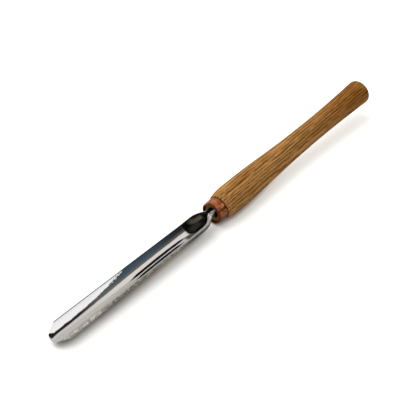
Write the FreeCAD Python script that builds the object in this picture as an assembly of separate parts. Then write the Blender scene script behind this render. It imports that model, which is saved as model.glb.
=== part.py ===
import FreeCAD, Part
import math
import os

# Spindle gouge: a forged, fluted blade with its tang, a copper ferrule and a turned wooden handle.
# The pieces are shaped along the axis of the handle: x = 0 is the front face of the ferrule, +X runs to the
# butt, the blade points to negative x, and the flute opens upwards (+Z). At the end the whole tool is laid
# down as it lies on a bench, on the bulge of its handle and on the underside of its nose. All sizes are in
# millimetres.

# Blade, measured along the axis of the handle.
neck_length = 1.0
shoulder_length = 30.0
flute_length = 174.4
nose_width = 22.0
heel_width = 20.2
heel_rim_height = 3.95
blade_rise_degrees = 2.45
wall_above_centre = 1.8
rim_thickness = 1.2
floor_thickness = 6.4
polish_depth = 0.25
scoop_end_gap = 3.5
scoop_end_half_width = 0.8
scoop_end_depth = 0.5

# Sharpened nose.
wing_sweep = 12.3
bevel_degrees = 26.0

# Neck and tang.
neck_width = 7.6
neck_height = 8.0
neck_centre_height = 0.2
neck_inset = 2.5
tang_length = 73.0
tang_root_width = 6.0
tang_root_height = 6.4
tang_tip_width = 3.6
tang_tip_height = 3.8
tang_centre_height = 0.5

# Ferrule.
ferrule_length = 10.8
ferrule_back_diameter = 23.6
ferrule_narrowing = 1.0
ferrule_wall = 1.15
lip_length = 1.3
lip_overhang = 0.6
lip_rounding = 0.9
lip_inner_chamfer = 0.3
crimp_angle_degrees = 53.0
crimp_radius = 1.6
crimp_depth = 0.9
crimp_front_gap = 1.8

# Handle.
wood_recess = 2.6
wood_step = 0.3
ferrule_to_shoulder = 4.5
shoulder_diameter = 26.8
shoulder_to_bulge = 14.0
bulge_diameter = 29.2
bulge_to_waist = 131.0
waist_diameter = 23.0
waist_to_end = 87.5
end_diameter = 27.0
butt_rounding = 2.4
butt_dome_height = 0.9
mouth_depth = 9.0

# Fits between the pieces.
ferrule_clearance = 0.04
crimp_clearance = 0.05
tang_clearance = 0.06
mouth_clearance = 0.3
socket_end_gap = 2.0

# Stations and sizes that follow from the ones above.
neck_x = -neck_length
heel_x = neck_x - shoulder_length
nose_x = heel_x - flute_length
tang_end_x = neck_x + tang_length
ground_x = nose_x + wing_sweep + floor_thickness / math.tan(math.radians(bevel_degrees))
ferrule_front_diameter = ferrule_back_diameter - ferrule_narrowing
ferrule_bore_radius = ferrule_back_diameter / 2 - ferrule_wall
spigot_radius = ferrule_bore_radius - ferrule_clearance
shoulder_x = ferrule_length + ferrule_to_shoulder
bulge_x = shoulder_x + shoulder_to_bulge
waist_x = bulge_x + bulge_to_waist
end_x = waist_x + waist_to_end
neck_top = neck_centre_height + neck_height / 2
neck_bottom = neck_centre_height - neck_height / 2
mouth_radius = math.hypot(neck_width / 2, neck_top) + mouth_clearance

# How the drawn forms run: fullness of the curves and number of points on them.
plan_fullness = 2.6
side_fullness = 2.0
round_fullness = 0.5523
square_fullness = 0.85
sweep_power = 3.4
cutter_turn_degrees = 120
neck_wall_share = 0.25
shoulder_steps = (0.0, 0.1, 0.2, 0.3, 0.4, 0.5, 0.6, 0.7, 0.8, 0.9, 1.0)
arc_step_degrees = 15
ogee_share = 0.435
overlap = 2.0


def outer_half_width(x):
    """Half of the blade's width at a station of the fluted length."""
    share = (heel_x - x) / flute_length
    return (heel_width + (nose_width - heel_width) * share) / 2


def rim_height(x):
    """Height of the rims of the flute, which rise towards the nose."""
    return heel_rim_height + (heel_x - x) * math.tan(math.radians(blade_rise_degrees))


def ease(share, fullness):
    """Smooth fall from 1 to 0."""
    return (1 + math.cos(math.pi * share ** fullness)) / 2


def section(x, half_width, top, wall, bottom, fullness):
    """Closed section across the tool: upright walls, a rounded underside and a flat top."""
    centre = top - wall
    depth = centre - bottom
    pull = depth * fullness
    reach = half_width * fullness
    left_wall = Part.makeLine(FreeCAD.Vector(x, half_width, top), FreeCAD.Vector(x, half_width, centre))
    left_curve = Part.BezierCurve()
    left_curve.setPoles([
        FreeCAD.Vector(x, half_width, centre),
        FreeCAD.Vector(x, half_width, centre - pull),
        FreeCAD.Vector(x, reach, bottom),
        FreeCAD.Vector(x, 0, bottom),
    ])
    right_curve = Part.BezierCurve()
    right_curve.setPoles([
        FreeCAD.Vector(x, 0, bottom),
        FreeCAD.Vector(x, -reach, bottom),
        FreeCAD.Vector(x, -half_width, centre - pull),
        FreeCAD.Vector(x, -half_width, centre),
    ])
    right_wall = Part.makeLine(FreeCAD.Vector(x, -half_width, centre), FreeCAD.Vector(x, -half_width, top))
    lid = Part.makeLine(FreeCAD.Vector(x, -half_width, top), FreeCAD.Vector(x, half_width, top))
    return Part.Wire([left_wall, left_curve.toShape(), right_curve.toShape(), right_wall, lid])


def blade_section(x):
    """Outline of the fluted length at one station."""
    half_width = outer_half_width(x)
    top = rim_height(x)
    return section(x, half_width, top, wall_above_centre, top - wall_above_centre - half_width, round_fullness)


def shoulder_section(share):
    """Outline between the heel of the flute (share 0) and the neck (share 1)."""
    x = heel_x + shoulder_length * share
    plan = ease(share, plan_fullness)
    side = ease(share, side_fullness)
    half_width = neck_width / 2 + (heel_width - neck_width) / 2 * plan
    top = heel_rim_height + (neck_top - heel_rim_height) * share
    heel_bottom = heel_rim_height - wall_above_centre - heel_width / 2
    bottom = neck_bottom + (heel_bottom - neck_bottom) * side
    wall = wall_above_centre + (neck_height * neck_wall_share - wall_above_centre) * share
    fullness = round_fullness + (square_fullness - round_fullness) * share ** 2
    return section(x, half_width, top, wall, bottom, fullness)


def tang_section(x, clearance):
    """Rectangle of the tapered tang at one station, grown by a clearance for its socket."""
    share = (x - neck_x) / tang_length
    side = (tang_root_width + (tang_tip_width - tang_root_width) * share) / 2 + clearance
    rise = (tang_root_height + (tang_tip_height - tang_root_height) * share) / 2 + clearance
    corners = [(side, rise), (side, -rise), (-side, -rise), (-side, rise), (side, rise)]
    return Part.makePolygon([FreeCAD.Vector(x, y, tang_centre_height + z) for y, z in corners])


def arc(start, middle, end):
    return Part.Arc(start, middle, end).toShape()


def hollow_section(x, half_width, rim, depth, lift):
    """Outline of a hollow at one station: a round floor between the rims, open above them."""
    left_top = FreeCAD.Vector(x, half_width, rim + lift)
    left_rim = FreeCAD.Vector(x, half_width, rim)
    right_rim = FreeCAD.Vector(x, -half_width, rim)
    right_top = FreeCAD.Vector(x, -half_width, rim + lift)
    floor = arc(left_rim, FreeCAD.Vector(x, 0, rim - depth), right_rim)
    lid = Part.makeLine(right_top, left_top)
    return Part.Wire([Part.makeLine(left_top, left_rim), floor, Part.makeLine(right_rim, right_top), lid])


def flute_section(x, lift):
    """Outline of the ground flute at one station."""
    half_width = outer_half_width(x)
    depth = half_width + wall_above_centre - floor_thickness
    return hollow_section(x, half_width - rim_thickness, rim_height(x), depth, lift)


def scoop_section(share, lift):
    """Outline of the scoop in which the flute runs out, from the heel (share 0) to its end (share 1)."""
    x = heel_x + (shoulder_length - scoop_end_gap) * share
    start_half_width = heel_width / 2 - rim_thickness - polish_depth
    start_depth = heel_width / 2 + wall_above_centre - floor_thickness - polish_depth
    plan = ease(share, plan_fullness)
    side = ease(share, side_fullness)
    half_width = scoop_end_half_width + (start_half_width - scoop_end_half_width) * plan
    depth = scoop_end_depth + (start_depth - scoop_end_depth) * side
    rim = heel_rim_height + (neck_top - heel_rim_height) * share
    return hollow_section(x, half_width, rim, depth, lift)


def loft(wires, ruled):
    return Part.makeLoft(wires, True, ruled)


def flute_reach(turn):
    """Distance from the middle of the rim plane at the nose to the floor of the flute, in one direction."""
    half_width = outer_half_width(nose_x) - rim_thickness
    depth = outer_half_width(nose_x) + wall_above_centre - floor_thickness
    radius = (half_width ** 2 + depth ** 2) / (2 * depth)
    lift = radius - depth
    along = lift * math.cos(turn)
    return math.sqrt(along ** 2 + radius ** 2 - lift ** 2) - along


def nose_cutter():
    """Surface of the ground bevel: it starts at the edge inside the flute and runs out and back."""
    slope = math.tan(math.radians(bevel_degrees))
    outer_radius = outer_half_width(nose_x) + wall_above_centre + overlap
    centre = rim_height(nose_x)
    inner_points = []
    outer_points = []
    for degrees in range(-cutter_turn_degrees, cutter_turn_degrees + 1, arc_step_degrees):
        turn = math.radians(degrees)
        edge_x = nose_x + wing_sweep * (abs(degrees) / 90) ** sweep_power
        edge_radius = flute_reach(turn)
        for points, radius in ((inner_points, edge_radius / 2), (outer_points, outer_radius)):
            x = edge_x + (radius - edge_radius) / slope
            points.append(FreeCAD.Vector(x, radius * math.sin(turn), centre - radius * math.cos(turn)))
    inner_curve = Part.BSplineCurve()
    inner_curve.interpolate(inner_points)
    outer_curve = Part.BSplineCurve()
    outer_curve.interpolate(outer_points)
    return Part.makeRuledSurface(inner_curve.toShape(), outer_curve.toShape())


def largest_piece(shape, cutter):
    """Split a solid by a surface and keep the larger piece."""
    pieces = shape.generalFuse([cutter])[0].Solids
    return max(pieces, key=lambda piece: piece.Volume)


def make_blade():
    front_x = nose_x - overlap
    fluted = loft([blade_section(x) for x in (front_x, ground_x, heel_x)], True)
    shoulder = loft([shoulder_section(share) for share in shoulder_steps], False)
    neck = Part.Face(shoulder_section(1)).extrude(FreeCAD.Vector(neck_length + neck_inset, 0, 0))
    tang = loft([tang_section(neck_x, 0), tang_section(tang_end_x, 0)], True)
    body = fluted.fuse([shoulder, neck, tang])
    lift = overlap
    flute = loft([flute_section(x, lift) for x in (front_x - overlap, ground_x, heel_x)], True)
    scoop = loft([scoop_section(share, lift) for share in shoulder_steps], False)
    body = body.cut(flute).cut(scoop)
    return largest_piece(body.removeSplitter(), nose_cutter())


def revolved(edges):
    """Solid turned about the axis of the handle from a closed profile."""
    face = Part.Face(Part.Wire(edges))
    return face.revolve(FreeCAD.Vector(0, 0, 0), FreeCAD.Vector(1, 0, 0), 360)


def corner_arc(centre_x, centre_r, radius, start_degrees, end_degrees):
    """Arc of a profile, from one angle to another about a centre."""
    places = []
    for degrees in (start_degrees, (start_degrees + end_degrees) / 2, end_degrees):
        turn = math.radians(degrees)
        place = FreeCAD.Vector(centre_x + radius * math.cos(turn), 0, centre_r + radius * math.sin(turn))
        places.append(place)
    return arc(places[0], places[1], places[2])


def joined(pieces):
    """Close a profile: straight lines between the ends of its curves, in order."""
    edges = []
    count = len(pieces)
    for index in range(count):
        edges.append(pieces[index])
        here = pieces[index].valueAt(pieces[index].LastParameter)
        following = pieces[(index + 1) % count]
        there = following.valueAt(following.FirstParameter)
        if here.distanceToPoint(there) > 1e-6:
            edges.append(Part.makeLine(here, there))
    return edges


def crimp_rod(radius):
    """Rod along the ferrule, from which both sides of the crimp groove are shaped."""
    centre_r = ferrule_back_diameter / 2 + crimp_radius - crimp_depth
    turn = math.radians(crimp_angle_degrees)
    base = FreeCAD.Vector(crimp_front_gap, -centre_r * math.sin(turn), centre_r * math.cos(turn))
    return Part.makeCylinder(radius, ferrule_length + overlap, base, FreeCAD.Vector(1, 0, 0))


def make_ferrule():
    front_radius = ferrule_front_diameter / 2
    lip_radius = ferrule_bore_radius - lip_overhang
    back_face = Part.makeLine(
        FreeCAD.Vector(ferrule_length, 0, ferrule_bore_radius),
        FreeCAD.Vector(ferrule_length, 0, ferrule_back_diameter / 2),
    )
    outer_lip = corner_arc(lip_rounding, front_radius - lip_rounding, lip_rounding, 90, 180)
    inner_lip = Part.makeLine(
        FreeCAD.Vector(0, 0, lip_radius + lip_inner_chamfer),
        FreeCAD.Vector(lip_inner_chamfer, 0, lip_radius),
    )
    lip_step = Part.makeLine(
        FreeCAD.Vector(lip_length, 0, lip_radius),
        FreeCAD.Vector(lip_length, 0, ferrule_bore_radius),
    )
    ring = revolved(joined([back_face, outer_lip, inner_lip, lip_step]))
    bore_start = FreeCAD.Vector(lip_length, 0, 0)
    bore_length = ferrule_length - lip_length
    bore = Part.makeCylinder(ferrule_bore_radius, bore_length, bore_start, FreeCAD.Vector(1, 0, 0))
    ridge = crimp_rod(crimp_radius + ferrule_wall).common(bore)
    return ring.fuse(ridge).cut(crimp_rod(crimp_radius))


def slope(start, end):
    return math.atan2(end.z - start.z, end.x - start.x)


def bowed(start, end, turn):
    """Arc of a profile whose chord is turned by an angle from the arc's direction at its start."""
    if abs(turn) < 1e-6:
        return Part.makeLine(start, end)
    chord = end - start
    side = FreeCAD.Vector(chord.z, 0, -chord.x)
    return arc(start, (start + end) * 0.5 + side * (math.tan(turn / 2) / 2), end)


def handle_side():
    """Turned side of the handle: arcs that run into each other, level at the bulge and at the waist."""
    front = FreeCAD.Vector(ferrule_length, 0, ferrule_back_diameter / 2 + wood_step)
    shoulder = FreeCAD.Vector(shoulder_x, 0, shoulder_diameter / 2)
    bulge = FreeCAD.Vector(bulge_x, 0, bulge_diameter / 2)
    waist = FreeCAD.Vector(waist_x, 0, waist_diameter / 2)
    end = FreeCAD.Vector(end_x - butt_dome_height - butt_rounding, 0, end_diameter / 2)
    grip = bulge + (waist - bulge) * ogee_share
    to_bulge = slope(shoulder, bulge)
    to_waist = slope(bulge, waist)
    return [
        bowed(front, shoulder, 2 * to_bulge - slope(front, shoulder)),
        bowed(shoulder, bulge, -to_bulge),
        bowed(bulge, grip, to_waist),
        bowed(grip, waist, -to_waist),
        bowed(waist, end, slope(waist, end)),
    ]


def make_handle():
    rim_x = end_x - butt_dome_height
    rim_r = end_diameter / 2 - butt_rounding
    corner = corner_arc(rim_x - butt_rounding, rim_r, butt_rounding, 90, 0)
    dome_radius = (rim_r ** 2 + butt_dome_height ** 2) / (2 * butt_dome_height)
    dome_turn = math.degrees(math.asin(rim_r / dome_radius))
    dome = corner_arc(end_x - dome_radius, 0, dome_radius, dome_turn, 0)
    axis = Part.makeLine(FreeCAD.Vector(end_x, 0, 0), FreeCAD.Vector(wood_recess, 0, 0))
    spigot = Part.makeLine(
        FreeCAD.Vector(wood_recess, 0, spigot_radius),
        FreeCAD.Vector(ferrule_length, 0, spigot_radius),
    )
    wood = revolved(joined(handle_side() + [corner, dome, axis, spigot]))
    mouth_start = FreeCAD.Vector(0, 0, 0)
    mouth = Part.makeCylinder(mouth_radius, wood_recess + mouth_depth, mouth_start, FreeCAD.Vector(1, 0, 0))
    socket_end_x = tang_end_x + socket_end_gap
    socket = loft([tang_section(0, tang_clearance), tang_section(socket_end_x, tang_clearance)], True)
    crimp = crimp_rod(crimp_radius + ferrule_wall + crimp_clearance)
    seat_length = ferrule_length - wood_recess
    seat_start = FreeCAD.Vector(wood_recess, 0, 0)
    seat = Part.makeCylinder(ferrule_bore_radius, seat_length, seat_start, FreeCAD.Vector(1, 0, 0))
    return wood.cut([mouth, socket, crimp.common(seat)])


def lowest(shape):
    return shape.optimalBoundingBox(False, False).ZMin


def turned(shape, degrees):
    copy = shape.copy()
    copy.rotate(FreeCAD.Vector(0, 0, 0), FreeCAD.Vector(0, 1, 0), -degrees)
    return copy


def resting_tilt(front, back):
    """Angle at which the nose of the blade and the bulge of the handle touch the same flat surface."""
    span = bulge_x - nose_x
    degrees = 0.0
    for step in range(6):
        drop = lowest(turned(front, degrees)) - lowest(turned(back, degrees))
        degrees += math.degrees(math.atan(drop / span))
    return degrees


def laid_down(shapes):
    """Tilt the tool to its resting place and put the origin under the middle of it."""
    degrees = resting_tilt(shapes["gouge_blade"], shapes["handle"])
    tilted = {name: turned(shape, degrees) for name, shape in shapes.items()}
    box = Part.makeCompound(list(tilted.values())).optimalBoundingBox(False, False)
    move = FreeCAD.Vector(-(box.XMin + box.XMax) / 2, -(box.YMin + box.YMax) / 2, -box.ZMin)
    for shape in tilted.values():
        shape.translate(move)
    return tilted


def main():
    shapes = {"gouge_blade": make_blade(), "ferrule": make_ferrule(), "handle": make_handle()}
    os.makedirs("parts", exist_ok=True)
    for name, shape in laid_down(shapes).items():
        shape.exportStep("parts/" + name + ".step")


main()
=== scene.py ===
import math

import bmesh
import bpy
from mathutils import Matrix, Vector


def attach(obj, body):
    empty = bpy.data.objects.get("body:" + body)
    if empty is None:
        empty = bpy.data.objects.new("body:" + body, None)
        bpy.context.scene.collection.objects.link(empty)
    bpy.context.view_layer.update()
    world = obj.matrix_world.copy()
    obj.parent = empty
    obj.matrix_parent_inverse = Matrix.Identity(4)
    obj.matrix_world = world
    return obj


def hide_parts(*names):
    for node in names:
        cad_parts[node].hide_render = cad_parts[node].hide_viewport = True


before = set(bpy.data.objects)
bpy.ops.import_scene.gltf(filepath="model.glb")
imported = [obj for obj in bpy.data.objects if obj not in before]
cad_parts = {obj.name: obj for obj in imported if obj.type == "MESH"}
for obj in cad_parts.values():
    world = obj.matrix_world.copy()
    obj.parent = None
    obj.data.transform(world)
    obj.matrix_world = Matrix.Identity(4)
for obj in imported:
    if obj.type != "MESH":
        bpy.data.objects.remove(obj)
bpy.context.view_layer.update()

# Camera of the photograph, in the frame of the part: 1 m from the point of the bench that it looks at, and
# 40 degrees above the bench.
IMAGE_SIDE = 400
FOCAL_PIXELS = 1014.487
SENSOR_MM = 36.0
CAMERA_CLIP_START = 0.05
CAMERA_CLIP_END = 20.0
CAMERA_PLACE = Vector((-0.5783, -0.4700, 0.6435))
CAMERA_LOOK = Vector((0.5777, 0.5019, -0.6438))

# The pieces are drawn in millimetres along the axis of the handle, as the part is: x = 0 is the front face
# of the ferrule, +x runs to the butt, and the flute opens upwards. Then they are laid down with the tool.
MM = 0.001
REST_TILT_DEGREES = 3.32666
FERRULE_FACE_X = -21.0708
FERRULE_FACE_Z = 13.0138

# Blade.
NECK_X = -1.0
HEEL_X = -31.0
FLUTE_LENGTH = 174.4
NOSE_X = HEEL_X - FLUTE_LENGTH
NOSE_WIDTH = 22.0
HEEL_WIDTH = 20.2
HEEL_RIM_HEIGHT = 3.95
BLADE_RISE_DEGREES = 2.45
WALL_ABOVE_CENTRE = 1.8
RIM_THICKNESS = 1.2
FLOOR_THICKNESS = 6.4
POLISH_DEPTH = 0.25
POLISH_LENGTH = 0.8
WING_SWEEP = 12.3
BEVEL_DEGREES = 26.0
SWEEP_POWER = 3.4
SCOOP_END_X = NECK_X - 3.5
SCOOP_END_HALF_WIDTH = 0.8
SCOOP_END_DEPTH = 0.5
RUN_OUT_START_X = SCOOP_END_X - 1.5
RUN_OUT_END_X = SCOOP_END_X + 0.5
RUN_OUT_NARROWING = 0.4
RUN_OUT_DEPTH = 0.01
NECK_WIDTH = 7.6
NECK_HEIGHT = 8.0
NECK_CENTRE_HEIGHT = 0.2
NECK_WALL = 2.0
NECK_END_X = 2.5
NECK_TOP = NECK_CENTRE_HEIGHT + NECK_HEIGHT / 2
NECK_BOTTOM = NECK_CENTRE_HEIGHT - NECK_HEIGHT / 2
PLAN_FULLNESS = 2.6
SIDE_FULLNESS = 2.0
ROUND_FULLNESS = 0.5523
SQUARE_FULLNESS = 0.85
TANG_ROOT = (6.0, 6.4)
TANG_TIP = (3.6, 3.8)
TANG_LENGTH = 73.0
TANG_CENTRE_HEIGHT = 0.5
OUTER_EDGE_BREAK = 0.35
OUTER_BREAK_SHARE = 0.3
INNER_EDGE_BREAK = 0.12

# Ferrule.
FERRULE_LENGTH = 10.8
FERRULE_BACK_RADIUS = 11.8
FERRULE_FRONT_RADIUS = 11.3
FERRULE_BORE_RADIUS = 10.65
FERRULE_WALL = 1.15
LIP_LENGTH = 1.3
LIP_RADIUS = 10.05
LIP_ROUNDING = 0.9
LIP_INNER_CHAMFER = 0.3
CRIMP_DEGREES = 53.0
CRIMP_RADIUS = 1.6
CRIMP_CENTRE_RADIUS = 12.5
CRIMP_FRONT = 1.8
CRIMP_LEAD = 0.4
CRIMP_SOFTNESS = 0.8
CRIMP_INNER_SOFTNESS = 0.4
CRIMP_CLEARANCE = 0.05

# Handle.
SPIGOT_RADIUS = 10.61
WOOD_RECESS = 2.6
MOUTH_END_X = 11.6
MOUTH_CLEARANCE = 0.3
MOUTH_RADIUS = math.hypot(NECK_WIDTH / 2, NECK_TOP) + MOUTH_CLEARANCE
SOCKET_END_X = 74.0
SOCKET_CLEARANCE = 0.06
HANDLE_STATIONS = ((10.8, 12.1), (15.3, 13.4), (29.3, 14.6), (160.3, 11.5), (244.5, 13.5))
OGEE_SHARE = 0.435
BUTT_ROUNDING = 2.4
BUTT_DOME = 0.9

# Growth rings of the wood, and the direction across them, measured from straight up towards -y.
RING_SPACING = 2.9
RING_LEAN_DEGREES = 115

# Rows and points of the meshes, and the angles from which an edge is drawn sharp. The bevel has as many rows
# as a rim has faces across, because its ends are the ends of the rims.
HALF_COUNT = 20
RIM_COUNT = 4
BEVEL_ROWS = RIM_COUNT
FLUTE_ROWS = 70
POLISH_ROWS = 4
POLISH_STEP = 0.2
SCOOP_ROWS = 72
SCOOP_STEP = 0.4
NECK_STEPS = (0.5, 1.5, 2.5)
NOSE_PASSES = 12
SMALLEST = 1e-6
BLADE_SHARP_DEGREES = 28
FERRULE_AROUND = 224
FERRULE_ROWS = 10
CRIMP_ROWS = 8
HANDLE_AROUND = 144
HANDLE_ROWS = (6, 14, 30, 36, 40)
DOME_ROWS = 12
MOUTH_ROWS = 4
ROUNDING_STEP_DEGREES = 15
TURNED_SHARP_DEGREES = 35

# Material slots of the blade.
HOLLOW, SKIN, BEVEL, RIM = range(4)

# Stations between which the painted blue-dark reflection of the far rim begins, from the nose's side.
BLUE_RIM_REFLECTION_X = (-118, -106)

# Bench: its tones with painted contact shade and light, and the lengths in metres, along x or away from the
# middle, over which they change.
BENCH_REACH = 6.0
BENCH_ROUGHNESS = 0.9
BENCH_SPECULAR = 0.1
BENCH_TONE = (0.9, 0.9, 0.885, 1)
BENCH_GLOW = (1, 0.975, 0.92, 1)
BENCH_LIFT = 0.16
BENCH_FAR_LIFT = 0.30
FAR_LIFT_X = (-0.10, 0.12)
FAR_LIFT_DISTANCE = (0.3, 0.6)
CONTACT_SAMPLES = 16
CONTACT_OPENNESS = (0.2, 0.7)
CONTACT_REACH = (0.018, 0.008)
CONTACT_REACH_X = (-0.18, -0.10)
CONTACT_TONE_X = (-0.18, -0.09)
BLADE_CONTACT_SHADE = (0.58, 0.58, 0.57, 1)
HANDLE_CONTACT_SHADE = (0.88, 0.74, 0.64, 1)

# The one lamp, in metres and watts, and the strength of the white world as a light.
LAMP_PLACE = Vector((-0.35, 0.75, 1.5))
LAMP_SIDE = 1.5
LAMP_POWER = 24
WORLD_AMBIENT = 0.6


def outer_half_width(x):
    share = (HEEL_X - x) / FLUTE_LENGTH
    return (HEEL_WIDTH + (NOSE_WIDTH - HEEL_WIDTH) * share) / 2


def rim_height(x):
    return HEEL_RIM_HEIGHT + (HEEL_X - x) * math.tan(math.radians(BLADE_RISE_DEGREES))


def ease(share, fullness):
    return (1 + math.cos(math.pi * share ** fullness)) / 2


def between(start, end, share):
    return start + (end - start) * share


def step(low, high, value):
    """Smooth rise from 0 to 1 between two values."""
    share = min(max((value - low) / (high - low), 0), 1)
    return share * share * (3 - 2 * share)


def outer_half(x):
    """The outside of the blade at a station, from the rim to the middle, as (y, z).

    It is a short upright wall, then a rounded quarter.
    """
    if x <= HEEL_X:
        half_width = outer_half_width(x)
        top = rim_height(x)
        wall = WALL_ABOVE_CENTRE
        bottom = top - wall - half_width
        fullness = ROUND_FULLNESS
    else:
        share = min((x - HEEL_X) / (NECK_X - HEEL_X), 1)
        half_width = between(NECK_WIDTH, HEEL_WIDTH, ease(share, PLAN_FULLNESS)) / 2
        top = between(HEEL_RIM_HEIGHT, NECK_TOP, share)
        heel_bottom = HEEL_RIM_HEIGHT - WALL_ABOVE_CENTRE - HEEL_WIDTH / 2
        bottom = between(NECK_BOTTOM, heel_bottom, ease(share, SIDE_FULLNESS))
        wall = between(WALL_ABOVE_CENTRE, NECK_WALL, share)
        fullness = between(ROUND_FULLNESS, SQUARE_FULLNESS, share ** 2)
    centre = top - wall
    depth = centre - bottom
    points = [(half_width, top - OUTER_EDGE_BREAK), (half_width, centre)]
    for index in range(1, HALF_COUNT):
        u = index / (HALF_COUNT - 1)
        a, b, c, d = (1 - u) ** 3, 3 * u * (1 - u) ** 2, 3 * u ** 2 * (1 - u), u ** 3
        y = half_width * (a + b + c * fullness)
        z = centre * (a + b) - b * depth * fullness + bottom * (c + d)
        points.append((y, z))
    return points


def hollow_sizes(x):
    """Half width and depth of the flute or of the scoop at a station."""
    if x <= HEEL_X:
        half_width = outer_half_width(x)
        return half_width - RIM_THICKNESS, half_width + WALL_ABOVE_CENTRE - FLOOR_THICKNESS
    start_half_width = HEEL_WIDTH / 2 - RIM_THICKNESS - POLISH_DEPTH
    start_depth = HEEL_WIDTH / 2 + WALL_ABOVE_CENTRE - FLOOR_THICKNESS - POLISH_DEPTH
    scoop_share = min((x - HEEL_X) / (SCOOP_END_X - HEEL_X), 1)
    half_width = between(SCOOP_END_HALF_WIDTH, start_half_width, ease(scoop_share, PLAN_FULLNESS))
    depth = between(SCOOP_END_DEPTH, start_depth, ease(scoop_share, SIDE_FULLNESS))
    run_out = step(RUN_OUT_START_X, RUN_OUT_END_X, x)
    settle = POLISH_DEPTH * (1 - step(HEEL_X, HEEL_X + POLISH_LENGTH, x))
    half_width = half_width + settle - RUN_OUT_NARROWING * run_out
    return half_width, between(depth + settle, RUN_OUT_DEPTH, run_out)


def hollow_half(x):
    """The inside of the flute or of the scoop at a station: an arc from the rim to the middle."""
    half_width, depth = hollow_sizes(x)
    top = outer_half(x)[0][1] + OUTER_EDGE_BREAK
    radius = (half_width ** 2 + depth ** 2) / (2 * depth)
    reach = 2 * math.atan2(depth, half_width)
    points = []
    for index in range(HALF_COUNT + 1):
        turn = reach * (1 - index / HALF_COUNT)
        points.append((radius * math.sin(turn), top - depth + radius * (1 - math.cos(turn))))
    return points


def mirrored(half):
    return half + [(-y, z) for y, z in reversed(half[:-1])]


def ring_of(x):
    """Closed line round the blade at a station: inside, -y rim, outside, +y rim."""
    outer = outer_half(x)
    inner = hollow_half(x)
    half_width, side_top = outer[0]
    top = side_top + OUTER_EDGE_BREAK
    corner = OUTER_BREAK_SHARE * OUTER_EDGE_BREAK
    rim = [
        (inner[0][0] + INNER_EDGE_BREAK, top),
        (half_width - OUTER_EDGE_BREAK, top),
        (half_width - corner, top - corner),
    ]
    inner[0] = (inner[0][0], top - INNER_EDGE_BREAK)
    right_rim = [(-y, z) for y, z in rim]
    return mirrored(inner) + right_rim + mirrored(outer)[::-1] + rim[::-1]


def flute_reach(turn):
    """Distance from the middle of the rim plane at the nose to the floor of the flute."""
    half_width, depth = hollow_sizes(NOSE_X)
    radius = (half_width ** 2 + depth ** 2) / (2 * depth)
    lift = radius - depth
    along = lift * math.cos(turn)
    return math.sqrt(along ** 2 + radius ** 2 - lift ** 2) - along


def ground_x(y, z):
    """Station at which the ground bevel of the nose lies over a point of the section."""
    down = rim_height(NOSE_X) - z
    turn = math.atan2(abs(y), down)
    edge_x = NOSE_X + WING_SWEEP * (turn / (math.pi / 2)) ** SWEEP_POWER
    return edge_x + (math.hypot(y, down) - flute_reach(turn)) / math.tan(math.radians(BEVEL_DEGREES))


def nose_ring():
    """The stations at which the blade's long surfaces end at the bevel, one for each point of a ring."""
    stations = [NOSE_X] * len(ring_of(NOSE_X))
    for _ in range(NOSE_PASSES):
        stations = [ground_x(*ring_of(x)[index]) for index, x in enumerate(stations)]
    return stations


def tang_ring(x, size, neck_ring):
    """Rectangle of the tang with as many points as the neck has."""
    half_side, half_rise = size[0] / 2, size[1] / 2
    points = []
    for y, z in neck_ring:
        rise = z - TANG_CENTRE_HEIGHT
        scale = min(half_side / max(abs(y), SMALLEST), half_rise / max(abs(rise), SMALLEST))
        points.append((x, y * scale, TANG_CENTRE_HEIGHT + rise * scale))
    return points


def piece_of(name, points, faces, groups, sharp_degrees, materials):
    """Smooth piece from points in millimetres, drawn along the handle's axis and laid where the tool lies.

    The groups give each face its material slot.
    """
    mesh = bpy.data.meshes.new(name)
    mesh.from_pydata([(x * MM, y * MM, z * MM) for x, y, z in points], [], faces)
    mesh.polygons.foreach_set("material_index", groups)
    work = bmesh.new()
    work.from_mesh(mesh)
    bmesh.ops.recalc_face_normals(work, faces=work.faces)
    work.to_mesh(mesh)
    work.free()
    mesh.polygons.foreach_set("use_smooth", [True] * len(mesh.polygons))
    mesh.set_sharp_from_angle(angle=math.radians(sharp_degrees))
    mesh.update()
    for material in materials:
        mesh.materials.append(material)
    place = Matrix.Translation((FERRULE_FACE_X * MM, 0, FERRULE_FACE_Z * MM))
    mesh.transform(place @ Matrix.Rotation(math.radians(-REST_TILT_DEGREES), 4, "Y"))
    piece = bpy.data.objects.new(name, mesh)
    bpy.context.scene.collection.objects.link(piece)
    return piece


def blade_rows():
    """Rings of points along the blade, from the bevel to the tip of the tang."""
    ends = nose_ring()
    rows = []
    for row in range(FLUTE_ROWS + 1):
        stations = [between(end_x, HEEL_X, row / FLUTE_ROWS) for end_x in ends]
        rows.append([(x, *ring_of(x)[index]) for index, x in enumerate(stations)])
    stations = [HEEL_X + POLISH_STEP * index for index in range(1, POLISH_ROWS + 1)]
    stations += [HEEL_X + POLISH_LENGTH + SCOOP_STEP * index for index in range(1, SCOOP_ROWS + 1)]
    stations += [NECK_X + rise for rise in NECK_STEPS]
    stations.append(NECK_END_X)
    for x in stations:
        rows.append([(x, y, z) for y, z in ring_of(x)])
    neck = ring_of(NECK_END_X)
    rows.append(tang_ring(NECK_END_X, TANG_ROOT, neck))
    rows.append(tang_ring(NECK_X + TANG_LENGTH, TANG_TIP, neck))
    return rows


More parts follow.
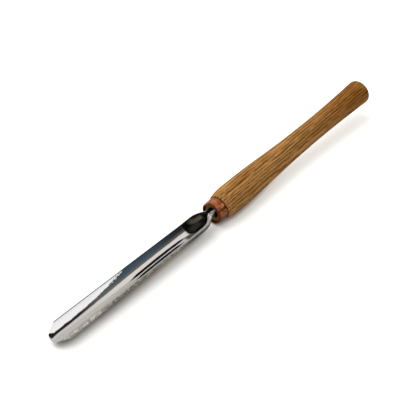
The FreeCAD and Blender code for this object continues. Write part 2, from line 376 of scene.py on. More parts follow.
def bevel_lines(points, count, inner_count, outer_start):
    """Straight lines over the bevel, from the edge inside the flute to the end of the outside.

    Each line is a list of point numbers. The first and the last run along the ends of the rims, and the
    others add their own points.
    """
    lines = []
    for column in range(inner_count):
        outer_index = outer_start + inner_count - 1 - column
        line = [column]
        for row in range(1, BEVEL_ROWS):
            if column == inner_count - 1:
                line.append(column + row)
            elif column == 0:
                line.append(count - row)
            else:
                share = row / BEVEL_ROWS
                y = between(points[column][1], points[outer_index][1], share)
                z = between(points[column][2], points[outer_index][2], share)
                line.append(len(points))
                points.append((ground_x(y, z), y, z))
        line.append(outer_index)
        lines.append(line)
    return lines


def make_blade(materials):
    rows = blade_rows()
    count = len(rows[0])
    points = [point for line in rows for point in line]
    inner_count = 2 * HALF_COUNT + 1
    outer_start = inner_count + RIM_COUNT - 1
    faces = []
    groups = []
    for row in range(len(rows) - 1):
        for index in range(count):
            following = (index + 1) % count
            a, b = row * count + index, row * count + following
            faces.append((a, b, b + count, a + count))
            if index < inner_count - 1:
                groups.append(HOLLOW)
            elif outer_start - 1 <= index < outer_start + inner_count:
                groups.append(SKIN)
            else:
                groups.append(RIM)
    lines = bevel_lines(points, count, inner_count, outer_start)
    for line, following in zip(lines, lines[1:]):
        for row in range(BEVEL_ROWS):
            faces.append((line[row], line[row + 1], following[row + 1], following[row]))
            groups.append(BEVEL)
    last = (len(rows) - 1) * count
    tip = len(points)
    points.append((NECK_X + TANG_LENGTH, 0, TANG_CENTRE_HEIGHT))
    for index in range(count):
        faces.append((last + index, last + (index + 1) % count, tip))
        groups.append(SKIN)
    return piece_of("blade_steel", points, faces, groups, BLADE_SHARP_DEGREES, materials)


def rod_radius(turn, rod):
    """Distance from the axis to the near side of the crimping rod, in a direction."""
    off = CRIMP_CENTRE_RADIUS * math.sin(turn)
    if abs(off) >= rod or math.cos(turn) < 0:
        return math.inf
    return CRIMP_CENTRE_RADIUS * math.cos(turn) - math.sqrt(rod ** 2 - off ** 2)


def crimped(x, radius, angle, rod, softness):
    """Radius of a round surface after the crimp has been pressed into it."""
    pressed = rod_radius(angle - math.radians(CRIMP_DEGREES), rod)
    depth = max(radius - pressed, 0)
    return radius - depth * step(CRIMP_FRONT - CRIMP_LEAD, CRIMP_FRONT + softness, x)


def turned_surface(profile, around, radius_at, closed):
    """Points and faces turned about the axis from a list of (x, r, kind).

    Angle 0 is up, and +90 degrees is towards -y.
    """
    points = []
    for x, radius, kind in profile:
        for index in range(around):
            angle = 2 * math.pi * index / around
            r = radius_at(x, radius, angle, kind)
            points.append((x, -r * math.sin(angle), r * math.cos(angle)))
    faces = []
    rows = len(profile)
    for row in range(rows if closed else rows - 1):
        for index in range(around):
            following = (index + 1) % around
            a, b = row * around, (row + 1) % rows * around
            faces.append((a + index, a + following, b + following, b + index))
    return points, faces


def make_ferrule(material):
    profile = []
    for index in range(FERRULE_ROWS + 1):
        x = between(FERRULE_LENGTH, CRIMP_FRONT, index / FERRULE_ROWS)
        share = (x - LIP_ROUNDING) / (FERRULE_LENGTH - LIP_ROUNDING)
        profile.append((x, between(FERRULE_FRONT_RADIUS, FERRULE_BACK_RADIUS, share), "outside"))
    for degrees in range(90, 181, ROUNDING_STEP_DEGREES):
        turn = math.radians(degrees)
        x = LIP_ROUNDING + LIP_ROUNDING * math.cos(turn)
        profile.append((x, FERRULE_FRONT_RADIUS - LIP_ROUNDING + LIP_ROUNDING * math.sin(turn), "lip"))
    profile.append((0, LIP_RADIUS + LIP_INNER_CHAMFER, "lip"))
    profile.append((LIP_INNER_CHAMFER, LIP_RADIUS, "lip"))
    profile.append((LIP_LENGTH, LIP_RADIUS, "lip"))
    profile.append((LIP_LENGTH, FERRULE_BORE_RADIUS, "lip"))
    for index in range(CRIMP_ROWS + 1):
        x = between(CRIMP_FRONT, FERRULE_LENGTH, index / CRIMP_ROWS)
        profile.append((x, FERRULE_BORE_RADIUS, "inside"))

    def radius_at(x, radius, angle, kind):
        if kind == "outside":
            return crimped(x, radius, angle, CRIMP_RADIUS, CRIMP_SOFTNESS)
        if kind == "inside":
            return crimped(x, radius, angle, CRIMP_RADIUS + FERRULE_WALL, CRIMP_INNER_SOFTNESS)
        return radius

    points, faces = turned_surface(profile, FERRULE_AROUND, radius_at, True)
    groups = [0] * len(faces)
    return piece_of("ferrule_copper", points, faces, groups, TURNED_SHARP_DEGREES, [material])


def slope(start, end):
    return math.atan2(end[1] - start[1], end[0] - start[0])


def bowed(start, end, turn, count):
    """Points of an arc after its start. Its chord is turned by an angle from its first direction."""
    radius = math.dist(start, end) / (2 * math.sin(turn))
    first = slope(start, end) - turn
    points = []
    for index in range(1, count + 1):
        here = first + 2 * turn * index / count
        x = start[0] + radius * (math.sin(here) - math.sin(first))
        points.append((x, start[1] - radius * (math.cos(here) - math.cos(first))))
    return points


def handle_side():
    """The handle's outline, from behind the ferrule to the butt, as (x, r)."""
    front, shoulder, bulge, waist, end = HANDLE_STATIONS
    grip = (between(bulge[0], waist[0], OGEE_SHARE), between(bulge[1], waist[1], OGEE_SHARE))
    to_bulge = slope(shoulder, bulge)
    to_waist = slope(bulge, waist)
    arcs = (
        (front, shoulder, 2 * to_bulge - slope(front, shoulder)),
        (shoulder, bulge, -to_bulge),
        (bulge, grip, to_waist),
        (grip, waist, -to_waist),
        (waist, end, slope(waist, end)),
    )
    points = [front]
    for (start, stop, turn), count in zip(arcs, HANDLE_ROWS):
        points += bowed(start, stop, turn, count)
    return points


def butt_end():
    """The rounded edge and the slight dome of the butt, as (x, r), without the middle of the dome."""
    end_x, end_r = HANDLE_STATIONS[-1]
    rim_r = end_r - BUTT_ROUNDING
    points = []
    for degrees in range(90 - ROUNDING_STEP_DEGREES, -1, -ROUNDING_STEP_DEGREES):
        turn = math.radians(degrees)
        points.append((end_x + BUTT_ROUNDING * math.cos(turn), rim_r + BUTT_ROUNDING * math.sin(turn)))
    dome_radius = (rim_r ** 2 + BUTT_DOME ** 2) / (2 * BUTT_DOME)
    for index in range(1, DOME_ROWS):
        r = rim_r * (1 - index / DOME_ROWS)
        drop = dome_radius - math.sqrt(dome_radius ** 2 - r ** 2)
        points.append((end_x + BUTT_ROUNDING + BUTT_DOME - drop, r))
    return points


def make_handle(material):
    around = HANDLE_AROUND
    profile = [(MOUTH_END_X, MOUTH_RADIUS, "bore")]
    for index in range(MOUTH_ROWS):
        profile.append((WOOD_RECESS, between(MOUTH_RADIUS, SPIGOT_RADIUS, index / MOUTH_ROWS), "bore"))
    for index in range(CRIMP_ROWS + 1):
        profile.append((between(WOOD_RECESS, FERRULE_LENGTH, index / CRIMP_ROWS), SPIGOT_RADIUS, "seat"))
    profile += [(x, r, "side") for x, r in handle_side() + butt_end()]

    def radius_at(x, radius, angle, kind):
        if kind == "seat":
            rod = CRIMP_RADIUS + FERRULE_WALL + CRIMP_CLEARANCE
            return crimped(x, radius, angle, rod, CRIMP_INNER_SOFTNESS)
        return radius

    points, faces = turned_surface(profile, around, radius_at, False)
    last = (len(profile) - 1) * around
    butt = len(points)
    points.append((HANDLE_STATIONS[-1][0] + BUTT_ROUNDING + BUTT_DOME, 0, 0))
    for index in range(around):
        faces.append((last + index, last + (index + 1) % around, butt))
    # The socket of the tang, behind the bored mouth.
    mouth = [(points[index][1], points[index][2]) for index in range(around)]
    near = len(points)
    points += tang_ring(MOUTH_END_X, [side + 2 * SOCKET_CLEARANCE for side in TANG_ROOT], mouth)
    far = len(points)
    points += tang_ring(SOCKET_END_X, [side + 2 * SOCKET_CLEARANCE for side in TANG_TIP], mouth)
    floor = len(points)
    points.append((SOCKET_END_X, 0, TANG_CENTRE_HEIGHT))
    for index in range(around):
        following = (index + 1) % around
        faces.append((index, following, near + following, near + index))
        faces.append((near + index, near + following, far + following, far + index))
        faces.append((far + index, far + following, floor))
    groups = [0] * len(faces)
    return piece_of("handle_wood", points, faces, groups, TURNED_SHARP_DEGREES, [material])


def srgb(red, green, blue):
    """Colour of the photograph, in 0 to 255, as the shader wants it."""
    values = []
    for part in (red, green, blue):
        part = part / 255
        values.append(part / 12.92 if part <= 0.04045 else ((part + 0.055) / 1.055) ** 2.4)
    return (*values, 1)


class Formulas:
    """A node tree that is written as plain formulas."""

    def __init__(self, tree):
        self.tree = tree

    def put(self, socket, value):
        if isinstance(value, bpy.types.NodeSocket):
            self.tree.links.new(value, socket)
        else:
            socket.default_value = value

    def math(self, operation, first, second=0.0):
        node = self.tree.nodes.new("ShaderNodeMath")
        node.operation = operation
        self.put(node.inputs[0], first)
        self.put(node.inputs[1], second)
        return node.outputs[0]

    def scaled(self, value, factor, offset=0.0):
        node = self.tree.nodes.new("ShaderNodeMath")
        node.operation = "MULTIPLY_ADD"
        self.put(node.inputs[0], value)
        self.put(node.inputs[1], factor)
        self.put(node.inputs[2], offset)
        return node.outputs[0]

    def line(self, value, low, high, first, last):
        """Straight change from first to last as the value goes from low to high."""
        node = self.tree.nodes.new("ShaderNodeMapRange")
        self.put(node.inputs["Value"], value)
        for name, number in (("From Min", low), ("From Max", high), ("To Min", first), ("To Max", last)):
            node.inputs[name].default_value = number
        return node.outputs["Result"]

    def step(self, value, low, high):
        """Smooth rise from 0 to 1 as the value goes from low to high."""
        node = self.tree.nodes.new("ShaderNodeMapRange")
        node.interpolation_type = "SMOOTHSTEP"
        self.put(node.inputs["Value"], value)
        self.put(node.inputs["From Min"], low)
        self.put(node.inputs["From Max"], high)
        return node.outputs["Result"]

    def mix(self, factor, first, second):
        node = self.tree.nodes.new("ShaderNodeMix")
        node.data_type = "RGBA"
        self.put(node.inputs["Factor"], factor)
        self.put(node.inputs[6], first)
        self.put(node.inputs[7], second)
        return node.outputs[2]

    def seen_directly(self):
        """1 for what the camera, a reflection or a refraction sees, else 0."""
        path = self.tree.nodes.new("ShaderNodeLightPath").outputs
        first = self.math("MAXIMUM", path["Is Camera Ray"], path["Is Glossy Ray"])
        return self.math("MAXIMUM", first, path["Is Transmission Ray"])


class Look(Formulas):
    """A material whose pattern has its place on the tool.

    Its x, y and z are those that the pieces are drawn in.
    """

    def __init__(self, name):
        self.material = bpy.data.materials.new(name)
        self.material.use_nodes = True
        super().__init__(self.material.node_tree)
        self.shader = self.tree.nodes["Principled BSDF"]
        place = self.tree.nodes.new("ShaderNodeTexCoord").outputs["Object"]
        upright = self.tree.nodes.new("ShaderNodeMapping")
        upright.vector_type = "TEXTURE"
        upright.inputs["Location"].default_value = (FERRULE_FACE_X * MM, 0, FERRULE_FACE_Z * MM)
        upright.inputs["Rotation"].default_value = (0, math.radians(-REST_TILT_DEGREES), 0)
        split = self.tree.nodes.new("ShaderNodeSeparateXYZ")
        self.tree.links.new(place, upright.inputs["Vector"])
        self.tree.links.new(upright.outputs[0], split.inputs[0])
        self.x, self.y, self.z = split.outputs

    def band(self, value, middle, half_width, softness):
        """1 within half_width of the middle, falling to 0 over the softness."""
        off = self.math("ABSOLUTE", self.math("SUBTRACT", value, middle))
        return self.math("SUBTRACT", 1.0, self.step(off, half_width, half_width + softness))

    def noise(self, scales, detail=3.0, roughness=0.5, offset=0.0):
        """Noise whose grain has its own scale, per metre, along each axis."""
        join = self.tree.nodes.new("ShaderNodeCombineXYZ")
        for socket, value, scale in zip(join.inputs, (self.x, self.y, self.z), scales):
            self.put(socket, self.scaled(value, scale, offset))
        node = self.tree.nodes.new("ShaderNodeTexNoise")
        self.tree.links.new(join.outputs[0], node.inputs["Vector"])
        node.inputs["Scale"].default_value = 1.0
        node.inputs["Detail"].default_value = detail
        node.inputs["Roughness"].default_value = roughness
        return node.outputs["Fac"]

    def bump(self, height, distance):
        node = self.tree.nodes.new("ShaderNodeBump")
        node.inputs["Distance"].default_value = distance
        self.tree.links.new(height, node.inputs["Height"])
        self.tree.links.new(node.outputs[0], self.shader.inputs["Normal"])

    def finish(self, colour, roughness, metallic):
        self.put(self.shader.inputs["Base Color"], colour)
        self.put(self.shader.inputs["Roughness"], roughness)
        self.put(self.shader.inputs["Metallic"], metallic)
        return self.material


def flute_steel():
    """Ground and polished flute with painted bright and blue-dark reflections, and the black forged scoop at
    its heel.
    """
    look = Look("flute_steel")
    # Along is 0 at the heel and 1 at the nose. Across is 0 in the middle of the flute and 1 at the far rim.
    along = look.scaled(look.x, -1 / (FLUTE_LENGTH * MM), HEEL_X / FLUTE_LENGTH)
    half = look.scaled(along, (NOSE_WIDTH - HEEL_WIDTH) / 2 * MM, (HEEL_WIDTH / 2 - RIM_THICKNESS) * MM)
    across = look.math("DIVIDE", look.y, half)
    wobble = look.noise((160, 500, 500), 2.0)
    across = look.math("ADD", across, look.scaled(wobble, 0.06, -0.03))
    streak = look.noise((18, 2600, 2600), 3.0, 0.6)
    # Painted reflections: the bright floor, a little darker towards the nose, and the greyer near wall.
    bright_reflection = look.mix(look.step(along, 0.45, 0.95), srgb(219, 213, 205), srgb(200, 195, 190))
    near = look.mix(look.step(along, 0.3, 0.5), srgb(190, 188, 190), srgb(180, 177, 172))
    bright_reflection = look.mix(look.step(across, -0.14, 0.0), near, bright_reflection)
    # The painted blue-dark reflection on the far wall lies between two lines that run together towards the
    # nose and end in a black patch.
    tip = look.step(along, 0.955, 0.985)
    low = look.scaled(look.step(along, 0.25, 0.95), -0.215, 0.465)
    low = look.math("ADD", low, look.scaled(tip, -0.05))
    wing_end = 0.95
    wing_length = 0.46
    gap = look.math("MAXIMUM", look.scaled(along, -1 / wing_length, wing_end / wing_length), 0.0)
    high = look.scaled(look.math("POWER", gap, 2.4), 0.45, 0.50)
    high = look.math("ADD", high, look.scaled(tip, 0.17))
    # The painted white reflection on the far wing has a ragged edge, most of all where the wing begins.
    ragged = look.scaled(look.noise((520, 900, 900), 3.0, 0.7, 6.6), 1.0, -0.5)
    ragged = look.math("MULTIPLY", ragged, look.scaled(look.band(along, 0.48, 0.05, 0.06), 0.55, 0.16))
    high = look.math("ADD", high, ragged)
    above_low = look.step(look.math("SUBTRACT", across, low), -0.05, 0.05)
    below_high = look.step(look.math("SUBTRACT", high, across), -0.03, 0.03)
    blue_reflection = look.math("MULTIPLY", above_low, below_high)
    blue_reflection = look.math("MULTIPLY", blue_reflection, look.step(along, 0.994, 0.989))
    blue = look.mix(look.step(across, 0.44, 0.8), srgb(98, 98, 96), srgb(58, 76, 88))
    blue = look.mix(look.step(across, 0.8, 1.0), blue, srgb(52, 66, 78))
    heel = look.mix(look.step(across, 0.44, 0.85), srgb(94, 92, 90), srgb(20, 22, 26))
    blue = look.mix(look.step(along, 0.02, 0.3), heel, blue)
    blue = look.mix(look.step(along, 0.6, 0.84), blue, srgb(8, 9, 11))
    colour = look.mix(blue_reflection, bright_reflection, blue)
    # Painted white reflection on the far wing, above the blue-dark one.
    wing_reflection = look.math("MULTIPLY", look.math("SUBTRACT", 1.0, below_high), look.step(across, 0.3, 0.5))
    colour = look.mix(wing_reflection, colour, srgb(242, 242, 243))
    colour = look.mix(look.scaled(streak, 0.16, -0.03), colour, srgb(120, 120, 118))
    # Two painted dark reflection lines on the near side, thin at their ends.
    for middle, bend, crest, width, start, end in (
        (-0.03, -1.8, 0.22, 0.155, 0.02, 0.49),
        (-0.53, -2.6, 0.24, 0.21, 0.06, 0.475),
    ):
        off_crest = look.scaled(along, 1.0, -crest)
        course = look.scaled(look.math("MULTIPLY", off_crest, off_crest), bend, middle)
        stretch = look.step(along, start, start + 0.08)
        stretch = look.math("MULTIPLY", stretch, look.step(along, end, end - 0.09))
        away = look.math("ABSOLUTE", look.math("SUBTRACT", across, course))
        line = look.step(look.math("SUBTRACT", look.scaled(stretch, width), away), -0.02, 0.03)
        colour = look.mix(look.math("MULTIPLY", line, look.step(stretch, 0.0, 0.2)), colour, srgb(2, 2, 3))
    # A painted grey reflection of the dark scoop lies on the near wall where it runs into the scoop.
    scoop_reflection = look.math("MULTIPLY", look.step(look.x, -42 * MM, -38 * MM), look.step(across, -0.02, -0.2))
    colour = look.mix(scoop_reflection, colour, srgb(84, 82, 78))
    # The scoop keeps its black forging skin, with a painted grey reflection on its floor and a painted brown
    # sheen along its far rim.
    near = look.math("MAXIMUM", look.scaled(across, -1.0), 0.0)
    overlap = 1.3
    edge = look.scaled(look.math("POWER", near, 3.0), 14 * MM, (HEEL_X - overlap) * MM)
    edge = look.math("ADD", edge, look.scaled(look.step(near, 0.0, 0.2), overlap * MM))
    past_edge = look.math("SUBTRACT", look.x, edge)
    scoop = look.step(past_edge, -0.4 * MM, 0.4 * MM)
    tarnish = look.step(past_edge, -2.2 * MM, 0.0)
    colour = look.mix(look.scaled(tarnish, 0.4), colour, srgb(70, 68, 66))
    scale = look.noise((260, 420, 420), 4.0, 0.6)
    forged = look.mix(look.step(scale, 0.4, 0.7), srgb(3, 3, 3), srgb(26, 25, 23))
    haze_reflection = look.band(look.y, 1 * MM, 2 * MM, 2 * MM)
    haze_reflection = look.math("MULTIPLY", haze_reflection, look.band(look.x, -22 * MM, 4 * MM, 5 * MM))
    forged = look.mix(look.scaled(haze_reflection, 0.7), forged, srgb(46, 45, 43))
    taper = 0.32
    course = look.scaled(look.x, -taper, (7.1 - taper * 23) * MM)
    sheen = look.band(look.math("SUBTRACT", look.y, course), 0.0, 0.9 * MM, 1.7 * MM)
    sheen = look.math("MULTIPLY", sheen, look.step(look.x, -28 * MM, -20 * MM))
    sheen = look.math("MULTIPLY", sheen, look.step(look.x, -9.5 * MM, -11.5 * MM))
    forged = look.mix(look.math("MULTIPLY", sheen, look.scaled(scale, 0.6, 0.65)), forged, srgb(86, 77, 68))
    colour = look.mix(scoop, colour, forged)
    look.bump(look.math("ADD", look.scaled(streak, 0.3), look.math("MULTIPLY", scoop, scale)), 0.12 * MM)
    look.shader.inputs["Specular IOR Level"].default_value = 0.0
    # The near wall is barely metallic, so its painted reflection tones show more than a real reflection.
    dull = look.math("MAXIMUM", scoop, look.scaled(look.step(across, -0.05, -0.3), 0.7))
    return look.finish(colour, look.scaled(streak, 0.10, 0.16), look.math("SUBTRACT", 1.0, dull))


def skin_steel():
    """Outside of the forging: ground over, mottled grey with a green and brown cast."""
    look = Look("skin_steel")
    mottle = look.noise((420, 520, 520), 4.0, 0.65)
    patches = look.noise((60, 160, 160), 3.0, 0.5, 3.7)
    grind = look.noise((900, 120, 120), 2.0, 0.5, 1.3)
    front = look.step(look.x, -135 * MM, -170 * MM)
    light = look.mix(front, srgb(160, 156, 144), srgb(224, 218, 208))
    dark = look.mix(front, srgb(70, 67, 58), srgb(128, 119, 106))
    colour = look.mix(look.step(mottle, 0.38, 0.64), dark, light)
    colour = look.mix(look.scaled(look.step(patches, 0.48, 0.7), 0.6), colour, srgb(122, 104, 98))
    shoulder = look.step(look.x, -62 * MM, -34 * MM)
    ground = look.mix(grind, srgb(84, 83, 79), srgb(176, 174, 168))
    colour = look.mix(look.scaled(shoulder, 0.9), colour, ground)
    # The shoulders are light along the rim, and painted shade darkens them below it.
    rise = math.tan(math.radians(BLADE_RISE_DEGREES))
    rim_line = look.scaled(look.x, -rise, (HEEL_RIM_HEIGHT + HEEL_X * rise) * MM)
    below_rim = look.math("SUBTRACT", rim_line, look.z)
    shade_under_rim = look.math("MULTIPLY", look.step(below_rim, 0.5 * MM, 1.7 * MM), shoulder)
    colour = look.mix(shade_under_rim, colour, look.mix(grind, srgb(16, 16, 15), srgb(58, 57, 53)))
    # The neck is worn bright between dark wrinkles, and has painted shade, black, where it goes into the
    # ferrule.
    neck = look.step(look.x, -9 * MM, -4 * MM)
    worn = look.mix(look.step(mottle, 0.42, 0.56), srgb(62, 57, 53), srgb(212, 206, 200))
    colour = look.mix(neck, colour, worn)
    colour = look.mix(look.step(look.x, -1.2 * MM, 0.8 * MM), colour, srgb(10, 10, 10))
    # The edge under the far rim has a painted blue-dark reflection like the wall inside it.
    far_edge = look.step(below_rim, 1.2 * MM, 0.7 * MM)
    far_edge = look.math("MULTIPLY", far_edge, look.step(look.y, 5 * MM, 6.5 * MM))
    blue_reflection = look.step(look.x, BLUE_RIM_REFLECTION_X[0] * MM, BLUE_RIM_REFLECTION_X[1] * MM)
    far_edge = look.math("MULTIPLY", far_edge, blue_reflection)
    colour = look.mix(far_edge, colour, srgb(20, 25, 31))
    look.bump(look.math("ADD", look.scaled(grind, 0.5), mottle), 0.08 * MM)
    return look.finish(colour, look.scaled(mottle, 0.25, 0.25), look.scaled(neck, -0.6, 1.0))


def bevel_steel():
    """The bevel, ground across the nose."""
    look = Look("bevel_steel")
    grind = look.noise((2200, 160, 160), 3.0, 0.6)
    shade = look.mix(look.step(grind, 0.3, 0.75), srgb(176, 173, 168), srgb(140, 138, 134))
    # Painted shade: darker towards the underside of the nose.
    shade = look.mix(look.step(look.z, 4 * MM, -3 * MM), shade, srgb(92, 91, 86))
    look.bump(grind, 0.06 * MM)
    return look.finish(shade, look.scaled(grind, 0.12, 0.2), 1.0)


def rim_steel():
    """Ground tops of the rims, with a painted blue-dark reflection, then black, on the far side, and the
    worn top of the neck.
    """
    look = Look("rim_steel")
    grind = look.noise((500, 900, 900), 3.0, 0.6)
    colour = look.mix(look.step(grind, 0.35, 0.7), srgb(172, 170, 166), srgb(138, 136, 133))
    neck = look.step(look.x, -11 * MM, -6 * MM)
    worn = look.mix(look.step(grind, 0.46, 0.6), srgb(228, 222, 217), srgb(84, 78, 74))
    colour = look.mix(neck, colour, worn)
    # The far side has a painted blue-dark reflection, and turns black towards the scoop.
    blue_reflection = look.step(look.x, BLUE_RIM_REFLECTION_X[0] * MM, BLUE_RIM_REFLECTION_X[1] * MM)
    dull = look.mix(blue_reflection, srgb(112, 112, 114), srgb(30, 37, 45))
    dull = look.mix(look.step(look.x, -38 * MM, -33 * MM), dull, srgb(8, 8, 8))
    # Painted highlight: the outer edge of the far rim is light beside the scoop's end.
    share = look.scaled(look.x, 1 / ((NECK_X - HEEL_X) * MM), -HEEL_X / (NECK_X - HEEL_X))
    share = look.math("MINIMUM", look.math("MAXIMUM", share, 0.0), 1.0)
    turn = look.scaled(look.math("POWER", share, PLAN_FULLNESS), math.pi)
    swell = look.scaled(look.math("COSINE", turn), 0.5, 0.5)
    edge = look.scaled(swell, (HEEL_WIDTH - NECK_WIDTH) / 2 * MM, NECK_WIDTH / 2 * MM)
    rim_highlight = look.step(look.math("SUBTRACT", edge, look.y), 0.8 * MM, 0.5 * MM)
    rim_highlight = look.math("MULTIPLY", rim_highlight, look.band(look.x, -8 * MM, 4 * MM, 3 * MM))
    dull = look.mix(rim_highlight, dull, srgb(206, 212, 205))
    colour = look.mix(look.step(look.y, -0.5 * MM, 0.5 * MM), colour, dull)
    look.bump(grind, 0.08 * MM)
    look.shader.inputs["Specular IOR Level"].default_value = 0.1
    return look.finish(colour, look.scaled(grind, 0.15, 0.22), look.scaled(neck, -0.6, 1.0))


def ferrule_copper():
    """Drawn copper with painted highlights in bright patches, and painted shade below, in the crimp and
    along its edges.
    """
    look = Look("ferrule_copper")
    patches = look.noise((220, 220, 220), 4.0, 0.6)
    spots = look.noise((700, 700, 700), 3.0, 0.6, 2.1)
    drawn = look.noise((3000, 300, 300), 2.0, 0.5, 5.2)
    colour = look.mix(look.step(patches, 0.35, 0.65), srgb(118, 65, 37), srgb(172, 103, 64))
    colour = look.mix(look.scaled(look.step(spots, 0.5, 0.7), 0.6), colour, srgb(92, 44, 24))
    # Painted highlights: bright orange patches.
    bright_reflection = look.step(look.noise((270, 270, 270), 3.0, 0.6, 3.3), 0.47, 0.62)
    colour = look.mix(look.scaled(bright_reflection, 0.7), colour, srgb(208, 130, 82))
    # Painted shade, darker towards the bottom.
    colour = look.mix(look.scaled(look.step(look.z, 7 * MM, 4.5 * MM), 0.62), colour, srgb(84, 42, 24))
    colour = look.mix(look.step(look.z, 4 * MM, -3 * MM), colour, srgb(70, 38, 20))
    # Painted shade in the crimp's groove.
    turn = math.radians(CRIMP_DEGREES)
    off_y = look.scaled(look.y, 1.0, CRIMP_CENTRE_RADIUS * math.sin(turn) * MM)
    off_z = look.scaled(look.z, 1.0, -CRIMP_CENTRE_RADIUS * math.cos(turn) * MM)
    off = look.math("ADD", look.math("MULTIPLY", off_y, off_y), look.math("MULTIPLY", off_z, off_z))
    groove_shade = look.step(look.math("SQRT", off), 2.1 * MM, 1.5 * MM)
    colour = look.mix(look.scaled(groove_shade, 0.85), colour, srgb(66, 30, 12))
    # Painted shade along the back edge, where the wood meets the ferrule, and on the near side of the front
    # lip.
    back = look.step(look.x, (FERRULE_LENGTH - 1.2) * MM, FERRULE_LENGTH * MM)
    colour = look.mix(look.scaled(back, 0.7), colour, srgb(70, 36, 18))
    lip = look.math("MULTIPLY", look.step(look.x, 2.2 * MM, 1.2 * MM), look.step(look.y, 7 * MM, 3 * MM))
    colour = look.mix(look.scaled(lip, 0.9), colour, srgb(78, 42, 18))
    look.bump(look.math("ADD", look.scaled(drawn, 0.5), patches), 0.12 * MM)
    return look.finish(colour, look.scaled(spots, 0.25, 0.3), 1.0)


def handle_wood():
    """Turned ring-porous hardwood, oiled: growth rings cut lengthwise, with pores in their dark parts."""
    look = Look("handle_wood")
    lean = math.radians(RING_LEAN_DEGREES)
    through = look.scaled(look.y, -math.sin(lean), look.scaled(look.z, math.cos(lean)))
    warp = look.noise((4, 70, 70), 2.0)
    streaks = look.noise((34, 620, 620), 3.0, 0.6, 1.7)
    pores = look.noise((170, 2300, 2300), 2.0, 0.5, 4.4)
    bands = look.noise((8, 160, 160), 3.0, 0.55, 7.3)
    waves = look.noise((24, 90, 90), 2.0, 0.5, 6.1)
    ring = look.scaled(through, 2 * math.pi / (RING_SPACING * MM), look.scaled(warp, 14.0))
    ring = look.math("ADD", ring, look.scaled(waves, 3.2))
    ring = look.scaled(look.math("SINE", ring), 0.42, look.scaled(streaks, 1.9, -0.45))
    dark_part = look.step(ring, 0.34, 1.0)
    far_end = look.step(look.x, 110 * MM, 240 * MM)
    light = look.mix(far_end, srgb(176, 128, 71), srgb(153, 101, 43))
    brown = look.mix(far_end, srgb(152, 106, 52), srgb(131, 83, 28))
    light = look.mix(look.step(bands, 0.35, 0.65), brown, light)
    dark = look.mix(far_end, srgb(106, 62, 18), srgb(84, 45, 4))
    colour = look.mix(dark_part, light, dark)
    fibres = look.noise((46, 1150, 1150), 3.0, 0.65, 8.2)
    pale = look.mix(far_end, srgb(204, 159, 109), srgb(184, 134, 78))
    colour = look.mix(look.scaled(look.step(fibres, 0.5, 0.62), 0.46), colour, pale)
    colour = look.mix(look.scaled(look.step(fibres, 0.46, 0.34), 0.46), colour, srgb(84, 50, 10))
    holes = look.math("MULTIPLY", look.step(pores, 0.55, 0.68), look.scaled(dark_part, 0.7, 0.25))
    colour = look.mix(holes, colour, srgb(62, 36, 10))
    # Painted shade: the lower side is darker.
    colour = look.mix(look.scaled(look.step(look.z, 1 * MM, -9 * MM), 0.4), colour, srgb(79, 54, 15))
    # The wood is dark where it meets the ferrule, and its bored mouth shows the end of the grain.
    front = look.step(look.x, 12.4 * MM, FERRULE_LENGTH * MM)
    colour = look.mix(look.scaled(front, 0.8), colour, srgb(44, 22, 8))
    inside = look.step(look.x, 4.0 * MM, 2.8 * MM)
    grain = look.noise((300, 900, 900), 3.0, 0.6, 9.1)
    colour = look.mix(inside, colour, look.mix(grain, srgb(60, 38, 12), srgb(160, 110, 54)))
    height = look.math("SUBTRACT", look.scaled(streaks, 0.5), look.step(pores, 0.56, 0.7))
    look.bump(height, 0.1 * MM)
    look.shader.inputs["Specular IOR Level"].default_value = 0.02
    return look.finish(colour, look.scaled(streaks, 0.2, 0.42), 0.0)


def make_camera():
    data = bpy.data.cameras.new("camera")
    data.sensor_width = SENSOR_MM
    data.lens = FOCAL_PIXELS / IMAGE_SIDE * SENSOR_MM
    data.clip_start = CAMERA_CLIP_START
    data.clip_end = CAMERA_CLIP_END
    camera = bpy.data.objects.new("camera", data)
    look = CAMERA_LOOK.normalized()
    right = look.cross(Vector((0, 0, 1))).normalized()
    up = right.cross(look)
    turn = Matrix((right, up, -look)).transposed().to_4x4()
    camera.matrix_world = Matrix.Translation(CAMERA_PLACE) @ turn
    bpy.context.scene.collection.objects.link(camera)
    bpy.context.scene.camera = camera


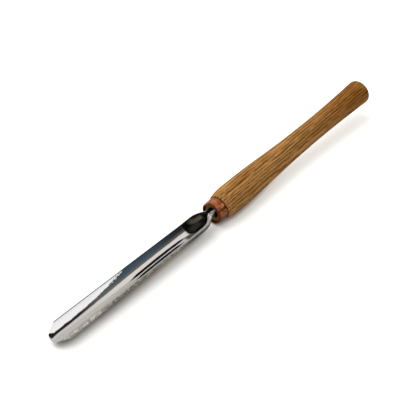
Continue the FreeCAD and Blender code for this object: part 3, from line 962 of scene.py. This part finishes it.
def make_floor():
    """White bench that keeps the tool's shadow from the lamp, with painted contact shade, darkest where they
    touch.

    The lift brings the lit part of the bench to white and is taken away where the tool is close, which
    paints the contact shade. The far lift is painted light, added towards the handle's end to lighten its
    shadow, and away from the tool.
    """
    mesh = bpy.data.meshes.new("floor")
    reach = BENCH_REACH
    corners = [(-reach, -reach, 0), (reach, -reach, 0), (reach, reach, 0), (-reach, reach, 0)]
    mesh.from_pydata(corners, [], [(0, 1, 2, 3)])
    floor = bpy.data.objects.new("floor", mesh)
    bpy.context.scene.collection.objects.link(floor)
    material = bpy.data.materials.new("floor")
    material.use_nodes = True
    look = Formulas(material.node_tree)
    shader = look.tree.nodes["Principled BSDF"]
    shader.inputs["Roughness"].default_value = BENCH_ROUGHNESS
    shader.inputs["Specular IOR Level"].default_value = BENCH_SPECULAR
    shader.inputs["Emission Color"].default_value = BENCH_GLOW
    place = look.tree.nodes.new("ShaderNodeTexCoord").outputs["Object"]
    split = look.tree.nodes.new("ShaderNodeSeparateXYZ")
    look.put(split.inputs[0], place)
    x = split.outputs["X"]
    # Painted contact shade: the bench is darker, and warm beside the handle, where the tool is close.
    near = look.tree.nodes.new("ShaderNodeAmbientOcclusion")
    near.samples = CONTACT_SAMPLES
    look.put(near.inputs["Distance"], look.line(x, *CONTACT_REACH_X, *CONTACT_REACH))
    clear = look.step(near.outputs["AO"], *CONTACT_OPENNESS)
    contact_shade = look.mix(look.step(x, *CONTACT_TONE_X), BLADE_CONTACT_SHADE, HANDLE_CONTACT_SHADE)
    look.put(shader.inputs["Base Color"], look.mix(clear, contact_shade, BENCH_TONE))
    distance = look.tree.nodes.new("ShaderNodeVectorMath")
    distance.operation = "LENGTH"
    look.put(distance.inputs[0], place)
    away = look.step(distance.outputs["Value"], *FAR_LIFT_DISTANCE)
    share = look.math("MAXIMUM", look.step(x, *FAR_LIFT_X), away)
    amount = look.scaled(share, BENCH_FAR_LIFT, BENCH_LIFT)
    strength = look.math("MULTIPLY", look.seen_directly(), amount)
    look.put(shader.inputs["Emission Strength"], look.math("MULTIPLY", strength, clear))
    mesh.materials.append(material)


def make_lamp():
    """A square lamp that faces the tool and isn't seen in reflections."""
    data = bpy.data.lights.new("key", "AREA")
    data.size = LAMP_SIDE
    data.energy = LAMP_POWER
    lamp = bpy.data.objects.new("key", data)
    lamp.location = LAMP_PLACE
    lamp.rotation_euler = (-LAMP_PLACE).to_track_quat("-Z", "Y").to_euler()
    lamp.visible_glossy = False
    bpy.context.scene.collection.objects.link(lamp)


def make_world():
    """White world, seen in full and dimmer as a light."""
    world = bpy.data.worlds.new("world")
    bpy.context.scene.world = world
    world.use_nodes = True
    look = Formulas(world.node_tree)
    background = look.tree.nodes["Background"]
    background.inputs["Color"].default_value = (1, 1, 1, 1)
    look.put(background.inputs["Strength"], look.line(look.seen_directly(), 0.0, 1.0, WORLD_AMBIENT, 1.0))


make_camera()
make_floor()
make_lamp()
make_world()
bpy.context.scene.view_settings.view_transform = "Standard"

pieces = (
    (make_blade([flute_steel(), skin_steel(), bevel_steel(), rim_steel()]), "gouge_blade", "steel"),
    (make_ferrule(ferrule_copper()), "ferrule", "copper"),
    (make_handle(handle_wood()), "handle", "wood"),
)
for piece, node, slot in pieces:
    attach(piece, "root")
    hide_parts(node)
